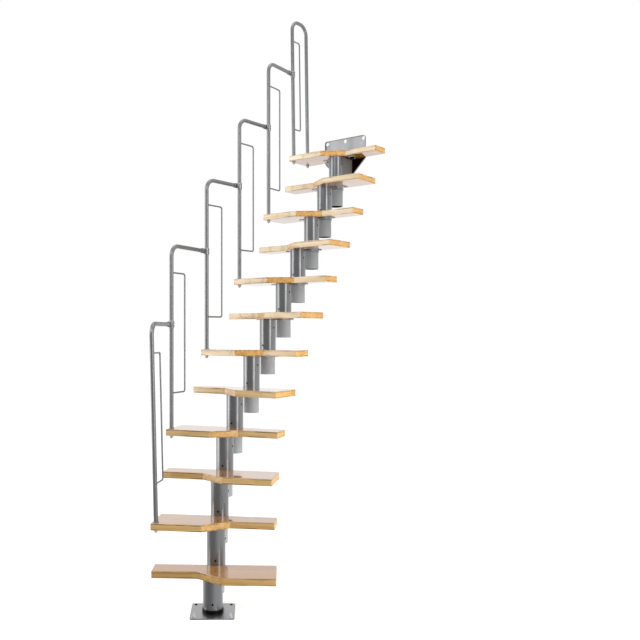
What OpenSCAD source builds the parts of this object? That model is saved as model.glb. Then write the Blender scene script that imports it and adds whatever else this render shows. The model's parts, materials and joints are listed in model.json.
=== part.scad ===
// Space-saving staircase: a stack of steel spine modules carries twelve paddle
// treads and a bent-tube rail. Millimetres, +Z up, +Y is the way one walks in,
// +X is to the climber's right. The origin is under the base plate, on the
// axis of the first column.

/* [Climb] */
// Floor to the top of the first tread
first_rise = 209; // [180:1:240]
// Tread top to tread top
rise = 226; // [190:1:240]
// Column axis to column axis
going = 150.5; // [120:0.5:220]
// Way each module points, degrees clockwise from +Y
spine_dir = [4, 5, 9, 21.5, 41, 42.5, 43, 40.5, 41, 40, 38, 38];
// Way each tread faces, degrees clockwise from +Y
tread_dir = [2.5, 8.5, 12.5, 21.5, 32.5, 38.5, 39.5, 40, 40.5, 39.5, 38, 40.5];

/* [Treads] */
// Width of a tread
tread_w = 650; // [500:10:900]
// Thickness of a tread
tread_t = 38; // [25:1:50]
// Depth of the half one steps on
deep_run = 230; // [160:1:300]
// Depth of the cut-back half
shallow_run = 127; // [80:1:150]
// Cut-back knee from the middle of the tread
knee_shallow = 86; // [40:1:120]
// Deep knee from the middle of the tread
knee_deep = 50; // [20:1:120]
// How far each tread reaches round the column behind it
tread_bite = 20.5; // [0:0.5:30]

/* [Spine] */
// Diameter of the columns
column_d = 101; // [70:1:120]
// Diameter of the foot column
foot_d = 104; // [70:1:120]
// Diameter of the sleeve that hangs under each tread
stub_d = 90; // [50:1:100]
// Length of the hanging sleeve
stub_l = 111; // [60:1:150]
// Wall of the tubes
tube_wall = 3; // [2:0.5:6]
// Thickness of the plates under the treads
carrier_t = 5; // [3:0.5:10]
// Length of the carrier bar across a tread
carrier_w = 250; // [150:5:400]
// Width of the carrier bar
carrier_bar = 60; // [30:5:90]
// Carrier bar centre ahead of the column behind the tread
carrier_v = 90; // [60:1:120]

/* [Base plate] */
// Side of the square base plate
base_w = 228; // [160:2:320]
// Thickness of the base plate
base_t = 6; // [4:1:12]
// Corner radius of the base plate
base_r = 14; // [2:1:30]
// Spacing of the floor bolts
base_bolts = 186; // [120:2:260]
// Diameter of the floor bolt holes
base_hole = 12; // [8:0.5:18]
// Height of the black ring round the foot
ring_h = 18; // [6:1:30]
// Wall of the black ring
ring_wall = 3; // [2:1:10]

/* [Wall plate] */
// Width of the wall plate
wall_w = 337; // [240:5:450]
// Height of the wall plate above the top tread
wall_up = 118; // [80:5:200]
// Thickness of the wall plate
wall_t = 5; // [3:1:10]
// Depth of the turned-forward rim
wall_rim = 7; // [4:1:30]
// Corner radius of the wall plate
wall_r = 18; // [4:1:30]
// Spacing of the outer wall bolts
wall_bolts = 302; // [200:2:400]
// Wall bolts above the top tread
wall_bolt_up = 98; // [60:1:180]
// Diameter of the wall bolt holes
wall_hole = 26; // [8:1:36]

/* [Railing] */
// Diameter of the rail tube
rail_d = 25; // [20:0.5:40]
// Height of the rail bar above the post's tread
rail_h = 1050; // [900:5:1150]
// How much higher or lower each bar is clamped than that
bar_lift = [5, 10, 6, -6, -13];
// Bend radius of the rail
rail_bend = 65; // [40:1:120]
// Height of the end loop above the top tread
loop_h = 971; // [800:1:1100]
// Distance between the legs of the end loop
loop_gap = 166; // [100:1:200]
// Lean of the end loop, degrees
loop_lean = 0.9; // [0:0.1:2]
// Bend radius of the end loop
loop_bend = 70; // [40:1:80]
// Post axis in from the end of the tread
post_in = 24; // [15:1:80]
// Post axis in from the front edge of the tread
post_back = 29; // [18:1:60]
// Lean of the first post, degrees
first_lean = 1.4; // [0:0.1:3]
// Diameter of the thin rods
rod_d = 10; // [6:0.5:16]
// Rod axis from the post axis
rod_out = 138; // [60:1:200]
// Lower arm of the rods above the tread
rod_low = 196; // [100:1:300]
// Upper arm of the rods above the tread
rod_high = 893; // [600:1:1000]
// Upper arm of the end loop's rod above the top tread
loop_rod_high = 826; // [600:1:900]
// Bend radius of the rods
rod_bend = 14; // [8:1:30]

/* [Rail fittings] */
// Diameter of the clamps
clamp_d = 33; // [28:1:50]
// Height of the clamps
clamp_h = 46; // [25:1:70]
// Diameter of the collar on the end of a bar
collar_d = 31; // [26:1:40]
// Diameter of the foot nuts
nut_d = 24; // [16:1:36]
// Diameter of the studs through the treads
stud_d = 12; // [8:1:16]

/* [Hidden] */
$fn = 64;
steps = 12;
seat = 0.2;
fuse = 0.5;
tread_front = column_d / 2 + seat - tread_bite;
wall_front = tread_front - seat;
post_r = rail_d / 2;
boss_end = clamp_d / 2 + 9;
collar_l = 11;
carrier_neck = column_d - 12;
wall_foot = column_d;
wall_down = (wall_w - wall_foot) / 2;

// Plan direction of a heading, and the plan place of column k.
function ahead(a) = [sin(a), cos(a)];
function right(a) = [cos(a), -sin(a)];
function stand(k) = k == 0 ? [0, 0] : stand(k - 1) + going * ahead(spine_dir[k - 1]);
function top_z(k) = first_rise + (k - 1) * rise;
function under_z(k) = top_z(k) - tread_t;

// Plan place of post i, which stands on the deep left end of tread 2i.
post_u = -(tread_w / 2 - post_in);
post_v = -(tread_front + deep_run - post_back);
function post_at(i) = stand(2 * i) + post_u * right(tread_dir[2 * i - 1])
    + post_v * ahead(tread_dir[2 * i - 1]);

// Post i is as tall as leg(i), and its bar ends on the next post, at hold(i).
// The last bar ends on the end loop, which leans a little to the left.
function leg(i) = rail_h + bar_lift[i - 1];
function bar_z(i) = top_z(2 * i) + leg(i);
function drift(i) = i == 5 ? (bar_z(i) - top_z(steps)) * tan(loop_lean) : 0;
function hold(i) = post_at(i + 1) - drift(i) * right(tread_dir[2 * i + 1]);
function span(i) = norm(hold(i) - post_at(i));
function bearing(i) = atan2((hold(i) - post_at(i))[0], (hold(i) - post_at(i))[1]);
function lean(i) = i == 1 ? first_lean : 0;
function shift(i) = leg(i) * sin(lean(i));
function bar_dir(i) = bearing(i) + asin(shift(i) / span(i));
function bar_len(i) = sqrt(span(i) * span(i) - shift(i) * shift(i));

module at_column(k, heading) {
    translate([stand(k)[0], stand(k)[1], 0])
        rotate([0, 0, -heading])
            children();
}

module tube(d, wall, h) {
    difference() {
        cylinder(d = d, h = h);
        translate([0, 0, -1])
            cylinder(d = d - 2 * wall, h = h + 2);
    }
}

// Tread outline for a right-hand step; left-hand steps are its mirror.
module tread_outline() {
    half = tread_w / 2;
    back = -tread_front;
    near = back - shallow_run;
    far = back - deep_run;
    polygon([[-half, back], [-half, near], [-knee_shallow, near],
        [knee_deep, far], [half, far], [half, back]]);
}

module tread(k) {
    odd = k % 2;
    color("burlywood")
        difference() {
            at_column(k, tread_dir[k - 1])
                translate([0, 0, under_z(k)])
                    mirror([1 - odd, 0, 0])
                        linear_extrude(tread_t)
                            tread_outline();
            if (k < steps)
                at_column(k, 0)
                    translate([0, 0, under_z(k) - 1])
                        cylinder(d = column_d + 2 * seat, h = tread_t + 2);
            if (odd == 0)
                foot_place(k / 2)
                    translate([0, 0, -1])
                        cylinder(d = stud_d + 2 * seat, h = tread_t + 2);
            if (k == steps)
                loop_place()
                    translate([0, 0, -1])
                        cylinder(d = stud_d + 2 * seat, h = tread_t + 2);
        }
}

// The plate a tread is screwed to, seen in plan, about the column behind it.
module carrier_bar_outline(k) {
    at_column(k, tread_dir[k - 1])
        translate([-carrier_w / 2, -carrier_v - carrier_bar / 2])
            square([carrier_w, carrier_bar]);
}

module carrier_outline(k) {
    carrier_bar_outline(k);
    at_column(k, spine_dir[k - 1])
        translate([-carrier_neck / 2, -going])
            square([carrier_neck, going]);
    at_column(k, 0)
        circle(d = column_d);
    at_column(k - 1, 0)
        circle(d = column_d);
}

module carrier(k) {
    translate([0, 0, under_z(k) - carrier_t])
        linear_extrude(carrier_t)
            carrier_outline(k);
}

module column(k) {
    at_column(k, 0)
        translate([0, 0, under_z(k) - fuse])
            tube(column_d, tube_wall, rise - carrier_t + fuse);
}

module stub(k) {
    at_column(k, 0)
        translate([0, 0, under_z(k) - carrier_t - stub_l])
            tube(stub_d, tube_wall, stub_l + fuse);
}

module spine_module(k) {
    color("silver")
        union() {
            carrier(k);
            column(k);
            stub(k);
        }
}

// The last column has flat cheeks that start above the tread in front of it
// and reach back to the wall plate.
cheek_up = tread_t + 12;
cheek = going * cos(spine_dir[11] - tread_dir[11]) - wall_front;

module cheek_outline(grow) {
    circle(d = column_d + 2 * grow);
    translate([-column_d / 2 - grow, 0])
        square([column_d + 2 * grow, cheek]);
}

module cheek_column(k) {
    at_column(k, tread_dir[k]) {
        translate([0, 0, under_z(k) - fuse])
            tube(column_d, tube_wall, cheek_up + 2 * fuse);
        translate([0, 0, under_z(k) + cheek_up])
            linear_extrude(rise - carrier_t - cheek_up)
                difference() {
                    cheek_outline(0);
                    translate([0, fuse])
                        cheek_outline(-tube_wall);
                }
    }
}

module last_module(k) {
    color("silver")
        union() {
            carrier(k);
            cheek_column(k);
            stub(k);
        }
}

module top_carrier() {
    color("silver")
        translate([0, 0, under_z(steps) - carrier_t])
            linear_extrude(carrier_t)
                union() {
                    carrier_bar_outline(steps);
                    at_column(steps - 1, tread_dir[steps - 1])
                        cheek_outline(0);
                }
}

module base_plate() {
    reach = base_w / 2 - base_r;
    pitch = base_bolts / 2;
    color("silver")
        union() {
            linear_extrude(base_t)
                difference() {
                    union() {
                        square([base_w, 2 * reach], center = true);
                        square([2 * reach, base_w], center = true);
                        for (x = [-reach, reach], y = [-reach, reach])
                            translate([x, y])
                                circle(r = base_r);
                    }
                    for (x = [-pitch, pitch], y = [-pitch, pitch])
                        translate([x, y])
                            circle(d = base_hole);
                }
            translate([0, 0, base_t - fuse])
                tube(foot_d, tube_wall, under_z(1) - carrier_t - base_t + fuse);
        }
}

module foot_ring() {
    color("black")
        translate([0, 0, base_t])
            tube(foot_d + 2 * seat + 2 * ring_wall, ring_wall, ring_h);
}

// Wall plate outline, upright: x across, y up from the top of the last tread.
module wall_outline(inset) {
    half = wall_w / 2 - inset;
    low = -tread_t - carrier_t;
    foot = wall_foot / 2 - 0.4 * inset;
    bottom = low - wall_down;
    reach = wall_w / 2 - wall_r;
    translate([-half, low])
        square([2 * half, wall_up - wall_r - low]);
    translate([-reach, wall_up - 2 * wall_r])
        square([2 * reach, 2 * wall_r - inset]);
    for (x = [-reach, reach])
        translate([x, wall_up - wall_r])
            circle(r = wall_r - inset);
    polygon([[-half, low], [-foot, bottom], [foot, bottom], [half, low]]);
}

module wall_plate() {
    notch = tread_t + carrier_t + 2;
    color("silver")
        at_column(steps, tread_dir[steps - 1])
            translate([0, -wall_front, top_z(steps)])
                rotate([90, 0, 0])
                    union() {
                        translate([0, 0, -wall_t])
                            linear_extrude(wall_t)
                                difference() {
                                    wall_outline(0);
                                    for (x = [-1, 0, 1])
                                        translate([x * wall_bolts / 2, wall_bolt_up])
                                            circle(d = wall_hole);
                                }
                        translate([0, 0, -fuse])
                            linear_extrude(wall_rim + fuse)
                                difference() {
                                    wall_outline(0);
                                    wall_outline(3);
                                    translate([-wall_w, -notch])
                                        square([2 * wall_w, notch + 1]);
                                    translate([-wall_foot / 2 - 12, -2 * wall_w])
                                        square([wall_foot + 24, 2 * wall_w]);
                                }
                    }
}

// Rail frames: a post's bar runs level to the next post; y runs along the bar.
module foot_place(i) {
    translate([post_at(i)[0], post_at(i)[1], under_z(2 * i)])
        children();
}

module loop_place() {
    aim = post_at(6) + loop_gap * ahead(tread_dir[steps - 1]);
    translate([aim[0], aim[1], under_z(steps)])
        children();
}

module rail_place(i) {
    translate([hold(i)[0], hold(i)[1], bar_z(i)])
        rotate([0, 0, -bar_dir(i)])
            rotate([0, -lean(i), 0])
                children();
}

// The axis of the next post, where the bar of post i is clamped to it.
module clamp_place(i) {
    translate([hold(i)[0], hold(i)[1], bar_z(i)])
        rotate([0, 0, -tread_dir[2 * i + 1]])
            rotate([0, i == 5 ? -loop_lean : 0, 0])
                children();
}

module loop_frame() {
    translate([post_at(6)[0], post_at(6)[1], top_z(steps)])
        rotate([0, 0, -tread_dir[steps - 1]])
            rotate([0, -loop_lean, 0])
                children();
}

module upright(r, z0, z1) {
    translate([0, 0, z0])
        cylinder(r = r, h = z1 - z0);
}

module level(r, y0, y1) {
    translate([0, y0, 0])
        rotate([-90, 0, 0])
            cylinder(r = r, h = y1 - y0);
}

// Quarter bend in the y-z plane about its centre, turned by a.
module bend(r, bend_r, a) {
    rotate([a, 0, 0])
        rotate([90, 0, 90])
            rotate_extrude(angle = 90)
                translate([bend_r, 0])
                    circle(r = r);
}

module foot_fitting() {
    translate([0, 0, tread_t])
        cylinder(d = rail_d + 6, h = 4);
    translate([0, 0, -1])
        cylinder(d = stud_d, h = tread_t + 2);
    translate([0, 0, -9])
        cylinder(d = nut_d, h = 9);
    translate([0, 0, -9])
        intersection() {
            sphere(d = nut_d - 4);
            translate([0, 0, -nut_d / 2])
                cylinder(d = nut_d, h = nut_d / 2 + 1);
        }
}

module post(i) {
    near = rail_bend - bar_len(i);
    color("silver")
        union() {
            rail_place(i) {
                translate([0, -bar_len(i), 0])
                    upright(post_r, 2 - leg(i), -rail_bend);
                translate([0, near, -rail_bend])
                    bend(post_r, rail_bend, 90);
                level(post_r, near, -boss_end - 1);
                level(collar_d / 2, -boss_end - collar_l, -boss_end);
            }
            foot_place(i)
                foot_fitting();
        }
}

module end_loop() {
    top = loop_h;
    color("silver")
        union() {
            loop_frame() {
                upright(post_r, 2, top - loop_bend);
                translate([0, loop_gap, 0])
                    upright(post_r, 2, top - loop_bend);
                translate([0, loop_bend, top - loop_bend])
                    bend(post_r, loop_bend, 90);
                translate([0, loop_gap - loop_bend, top - loop_bend])
                    bend(post_r, loop_bend, 0);
                translate([0, 0, top])
                    level(post_r, loop_bend, loop_gap - loop_bend);
            }
            foot_place(6)
                foot_fitting();
            loop_place()
                foot_fitting();
        }
}

// A thin rod bracketed off the post: two arms and an upright between them.
module rod_shape(low, high, out) {
    r = rod_d / 2;
    difference() {
        union() {
            translate([0, 0, low])
                level(r, post_r - 3, out - rod_bend);
            translate([0, 0, high])
                level(r, post_r - 3, out - rod_bend);
            translate([0, out - rod_bend, low + rod_bend])
                bend(r, rod_bend, -90);
            translate([0, out - rod_bend, high - rod_bend])
                bend(r, rod_bend, 0);
            translate([0, out, 0])
                upright(r, low + rod_bend, high - rod_bend);
        }
        upright(post_r, low - 50, high + 50);
    }
}

module rod(i) {
    color("silver")
        rail_place(i)
            translate([0, -bar_len(i), -rail_h])
                rod_shape(rod_low, rod_high, rod_out);
}

module end_rod() {
    color("silver")
        loop_frame()
            rod_shape(rod_low, loop_rod_high, loop_gap / 2);
}

module clamp_on(i) {
    color("silver")
        difference() {
            union() {
                clamp_place(i)
                    translate([0, 0, -clamp_h / 2])
                        cylinder(d = clamp_d, h = clamp_h);
                rail_place(i) {
                    level(collar_d / 2, -boss_end + 3, 0);
                    level(collar_d / 2 - 5, -boss_end, 0);
                }
            }
            clamp_place(i)
                translate([0, 0, -clamp_h])
                    cylinder(r = post_r + 0.05, h = 2 * clamp_h);
        }
}

base_plate();
foot_ring();
spine_module(1);  // module_01
spine_module(2);  // module_02
spine_module(3);  // module_03
spine_module(4);  // module_04
spine_module(5);  // module_05
spine_module(6);  // module_06
spine_module(7);  // module_07
spine_module(8);  // module_08
spine_module(9);  // module_09
spine_module(10);  // module_10
last_module(11);  // module_11
top_carrier();
wall_plate();
tread(1);  // tread_01
tread(2);  // tread_02
tread(3);  // tread_03
tread(4);  // tread_04
tread(5);  // tread_05
tread(6);  // tread_06
tread(7);  // tread_07
tread(8);  // tread_08
tread(9);  // tread_09
tread(10);  // tread_10
tread(11);  // tread_11
tread(12);  // tread_12
post(1);  // post_1
post(2);  // post_2
post(3);  // post_3
post(4);  // post_4
post(5);  // post_5
end_loop();  // post_6
rod(1);  // rod_1
rod(2);  // rod_2
rod(3);  // rod_3
rod(4);  // rod_4
rod(5);  // rod_5
end_rod();  // rod_6
clamp_on(1);  // clamp_1
clamp_on(2);  // clamp_2
clamp_on(3);  // clamp_3
clamp_on(4);  // clamp_4
clamp_on(5);  // clamp_5
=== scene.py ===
"""Looks for the space-saving staircase.

Twelve paddle-shaped beech treads sit on a spine of silver powder-coated steel
modules, with a base plate on the floor, a wall plate at the top and a bent-tube
railing along the left side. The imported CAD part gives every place; this script
dresses it. Sizes are in millimetres and angles in degrees unless a name says
otherwise; finished meshes are in metres in the part's own frame.
"""

import json
import logging
import math
from collections.abc import Callable, Iterable, Sequence
from dataclasses import dataclass
from enum import Enum
from functools import partial

import bmesh
import bpy
from mathutils import Matrix, Vector

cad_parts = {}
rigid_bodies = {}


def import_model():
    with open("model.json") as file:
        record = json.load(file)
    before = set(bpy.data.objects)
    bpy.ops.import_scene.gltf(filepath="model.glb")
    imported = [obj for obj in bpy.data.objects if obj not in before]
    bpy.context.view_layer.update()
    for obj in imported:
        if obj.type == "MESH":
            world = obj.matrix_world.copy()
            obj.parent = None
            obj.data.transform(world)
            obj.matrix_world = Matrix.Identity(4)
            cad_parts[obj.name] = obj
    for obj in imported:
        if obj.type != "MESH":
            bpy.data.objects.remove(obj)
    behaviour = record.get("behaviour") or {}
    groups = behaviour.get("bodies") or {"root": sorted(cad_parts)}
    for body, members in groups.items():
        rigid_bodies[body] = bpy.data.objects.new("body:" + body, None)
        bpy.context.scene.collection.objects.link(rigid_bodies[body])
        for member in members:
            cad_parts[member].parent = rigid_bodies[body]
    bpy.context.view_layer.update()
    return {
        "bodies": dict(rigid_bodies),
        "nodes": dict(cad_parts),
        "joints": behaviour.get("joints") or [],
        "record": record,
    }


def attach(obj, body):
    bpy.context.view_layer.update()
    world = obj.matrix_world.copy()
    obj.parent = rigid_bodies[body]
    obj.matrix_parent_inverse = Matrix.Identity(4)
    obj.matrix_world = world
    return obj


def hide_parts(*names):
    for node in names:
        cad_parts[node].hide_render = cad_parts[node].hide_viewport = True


LOG = logging.getLogger("staircase")
MM = 0.001
UP = Vector((0, 0, 1))
BODY = "root"
# Metres within which points are one and heights are level; angles in degrees
# below which faces are one flat, and above which an edge is eased or stays sharp.
MERGE_M = 1e-5
LEVEL_M = 1e-7
FLAT_ANGLE = 0.5
EASE_ANGLE = 38
CREASE_ANGLE = 35
CAST_ANGLE = 32
# How squarely a face looks along a direction when it counts as facing it.
FACING = 0.9

MATH = "ShaderNodeMath"
VECTOR_MATH = "ShaderNodeVectorMath"
MAP_RANGE = "ShaderNodeMapRange"
NOISE = "ShaderNodeTexNoise"
MIX = "ShaderNodeMix"
PRINCIPLED = "ShaderNodeBsdfPrincipled"

Point = tuple[float, float]
Thing = bpy.types.Object
Tree = bpy.types.NodeTree
Socket = bpy.types.NodeSocket


# ---------------------------------------------------------------- helpers


def linear(hex_colour: str) -> tuple[float, float, float, float]:
    """Turn an sRGB hex colour into linear RGBA.

    Args:
        hex_colour: A colour written as #RRGGBB.

    Returns:
        The linear red, green, blue and an alpha of 1.
    """
    parts = [int(hex_colour[i : i + 2], 16) / 255 for i in (1, 3, 5)]
    low = [c / 12.92 if c <= 0.04045 else ((c + 0.055) / 1.055) ** 2.4 for c in parts]
    return (low[0], low[1], low[2], 1.0)


def in_use(sockets: Sequence[Socket], key: str | int) -> Socket:
    """Find a socket by number, or by name among those that the settings leave on."""
    named = [socket for socket in sockets if socket.name == key and socket.enabled]
    return sockets[key] if isinstance(key, int) else named[0]


def add_node(
    tree: Tree,
    kind: str,
    inputs: dict[str | int, object] | Sequence[object] = (),
    out: str | int = 0,
    **settings: object,
) -> Socket | None:
    """Add a node with its settings and links.

    Args:
        tree: The node tree it goes in.
        kind: Blender's name of the node type.
        inputs: A value or a socket to link for each input, by name or in order.
        out: The output that is wanted, by name or number.
        **settings: Properties of the node to set.

    Returns:
        The wanted output, or None from a node that ends a tree.
    """
    node = tree.nodes.new(kind)
    for name, value in settings.items():
        setattr(node, name, value)
    given = inputs.items() if isinstance(inputs, dict) else enumerate(inputs)
    for key, value in given:
        socket = in_use(node.inputs, key)
        if isinstance(value, Socket):
            tree.links.new(value, socket)
        else:
            socket.default_value = value
    return in_use(node.outputs, out) if node.outputs else None


def blank(owner: bpy.types.Material | bpy.types.World) -> Tree:
    """Turn on an owner's nodes and empty its tree.

    Args:
        owner: The material or the world.

    Returns:
        The empty tree.
    """
    owner.use_nodes = True
    owner.node_tree.nodes.clear()
    return owner.node_tree


def direction(heading: float) -> Vector:
    """Plan direction of a heading, measured clockwise from +Y."""
    return Vector((math.sin(math.radians(heading)), math.cos(math.radians(heading)), 0))


def frame_at(base: Vector, heading: float, lean: float = 0.0) -> Matrix:
    """Frame in metres with Y along a heading, leaning to its left.

    Args:
        base: Its origin, in millimetres.
        heading: Its heading, clockwise from +Y.
        lean: Its lean about its own Y.

    Returns:
        The frame.
    """
    turn = Matrix.Rotation(-math.radians(heading), 4, "Z")
    return Matrix.Translation(base * MM) @ turn @ Matrix.Rotation(-math.radians(lean), 4, "Y")


def linked(name: str, data: bpy.types.ID) -> Thing:
    """Put data in the scene as an object at the origin.

    Args:
        name: Name of the object.
        data: What it holds.

    Returns:
        The object.
    """
    made = bpy.data.objects.new(name, data)
    bpy.context.scene.collection.objects.link(made)
    return made


def mesh_object(name: str, shape: bmesh.types.BMesh) -> Thing:
    """Turn a bmesh into an object at the origin, and free the bmesh.

    Args:
        name: Name of the object and its mesh.
        shape: The finished shape, in metres in the part's frame.

    Returns:
        The linked object.
    """
    mesh = bpy.data.meshes.new(name)
    shape.to_mesh(mesh)
    shape.free()
    return linked(name, mesh)


def wire_object(name: str, points: Sequence[Vector], joined: bool) -> Thing:
    """Make an object of bare points, to seed a Geometry Nodes tree.

    Args:
        name: Name of the object and its mesh.
        points: The points in metres.
        joined: Whether each point has an edge to the next.

    Returns:
        The linked object.
    """
    edges = [(i, i + 1) for i in range(len(points) - 1)] if joined else []
    mesh = bpy.data.meshes.new(name)
    mesh.from_pydata([tuple(point) for point in points], edges, [])
    return linked(name, mesh)


def baked(source: Thing, name: str) -> Thing:
    """Replace an object by the plain mesh that its modifiers make.

    Args:
        source: The object with live modifiers, which is removed.
        name: Name of the plain object.

    Returns:
        The plain object, at the origin.
    """
    bpy.context.view_layer.update()
    graph = bpy.context.evaluated_depsgraph_get()
    mesh = bpy.data.meshes.new_from_object(
        source.evaluated_get(graph), preserve_all_data_layers=True, depsgraph=graph
    )
    old = source.data
    bpy.data.objects.remove(source)
    if old.users == 0:
        bpy.data.batch_remove([old])
    mesh.name = name
    return linked(name, mesh)


def smoothed(piece: Thing, crease: float | None = None) -> Thing:
    """Shade a piece smooth.

    Args:
        piece: The piece.
        crease: Angle from which an edge stays sharp, if any does.

    Returns:
        The same piece.
    """
    piece.data.polygons.foreach_set("use_smooth", [True] * len(piece.data.polygons))
    if crease is not None:
        piece.data.set_sharp_from_angle(angle=math.radians(crease))
    return piece


def weighted(piece: Thing) -> Thing:
    """Shade a smooth piece mostly after its large faces, and make it plain.

    Args:
        piece: The piece, which is replaced.

    Returns:
        The plain piece under the same name.
    """
    smoothed(piece).modifiers.new("weigh", "WEIGHTED_NORMAL").weight = 90
    return baked(piece, piece.name)


def turned(
    name: str, profile: Sequence[Point], place: Matrix, sides: int, closed: bool = False
) -> Thing:
    """Turn a profile about the Z axis of a frame.

    Args:
        name: Name of the object.
        profile: Radius and height pairs in millimetres, in order along the
            surface; a radius of 0 closes on the axis.
        place: The frame, in metres.
        sides: Faces round the axis.
        closed: Join the last ring back to the first, as for a tube.

    Returns:
        The turned object, with its faces outward.
    """
    shape = bmesh.new()
    rings: list[list[bmesh.types.BMVert]] = []
    for radius, height in profile:
        turns = [2 * math.pi * step / sides for step in range(sides if radius > 0 else 1)]
        ring = [Vector((radius * math.cos(a), radius * math.sin(a), height)) * MM for a in turns]
        rings.append([shape.verts.new(place @ spot) for spot in ring])
    pairs = list(zip(rings, rings[1:]))
    if closed:
        pairs.append((rings[-1], rings[0]))
    for upper, lower in pairs:
        for step in range(sides):
            corners = [
                ring[at % len(ring)]
                for ring, at in ((upper, step), (lower, step), (lower, step + 1), (upper, step + 1))
            ]
            distinct = list(dict.fromkeys(corners))
            if len(distinct) > 2:
                shape.faces.new(distinct)
    bmesh.ops.recalc_face_normals(shape, faces=shape.faces)
    return mesh_object(name, shape)


def rounded(corners: Sequence[Point], radius: float, steps: int = 5) -> list[Point]:
    """Round every corner of a polygon.

    Args:
        corners: The sharp corners in order.
        radius: Radius of the rounding.
        steps: Straight bits across each corner.

    Returns:
        The outline with its corners rounded.
    """
    outline: list[Point] = []
    count = len(corners)
    for i in range(count):
        here = Vector(corners[i])
        back = (Vector(corners[i - 1]) - here).normalized()
        on = (Vector(corners[(i + 1) % count]) - here).normalized()
        half = back.angle(on) / 2
        reach = radius / math.tan(half)
        middle = here + (back + on).normalized() * (radius / math.sin(half))
        first = here + back * reach - middle
        sweep = (here + on * reach - middle).angle_signed(first)
        for step in range(steps + 1):
            spot = middle + Matrix.Rotation(sweep * step / steps, 2) @ first
            outline.append((spot.x, spot.y))
    return outline


# ---------------------------------------------------------------- finishes


@dataclass(frozen=True)
class Finish:
    """A surface finish that makes one node material.

    Args:
        name: The material's name: what it is and how its surface was made.
        slot: The record's material slot; not used.
    """

    name: str
    slot: str

    def material(self) -> bpy.types.Material:
        """Make the material, or find it once it is made.

        Returns:
            The material.
        """
        found = bpy.data.materials.get(self.name)
        if found:
            return found
        made = bpy.data.materials.new(self.name)
        tree = blank(made)
        add_node(tree, "ShaderNodeOutputMaterial", {"Surface": self.surface(tree)})
        return made

    def surface(self, tree: Tree) -> Socket:
        """Build the shader and return its output socket."""
        raise NotImplementedError


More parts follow.
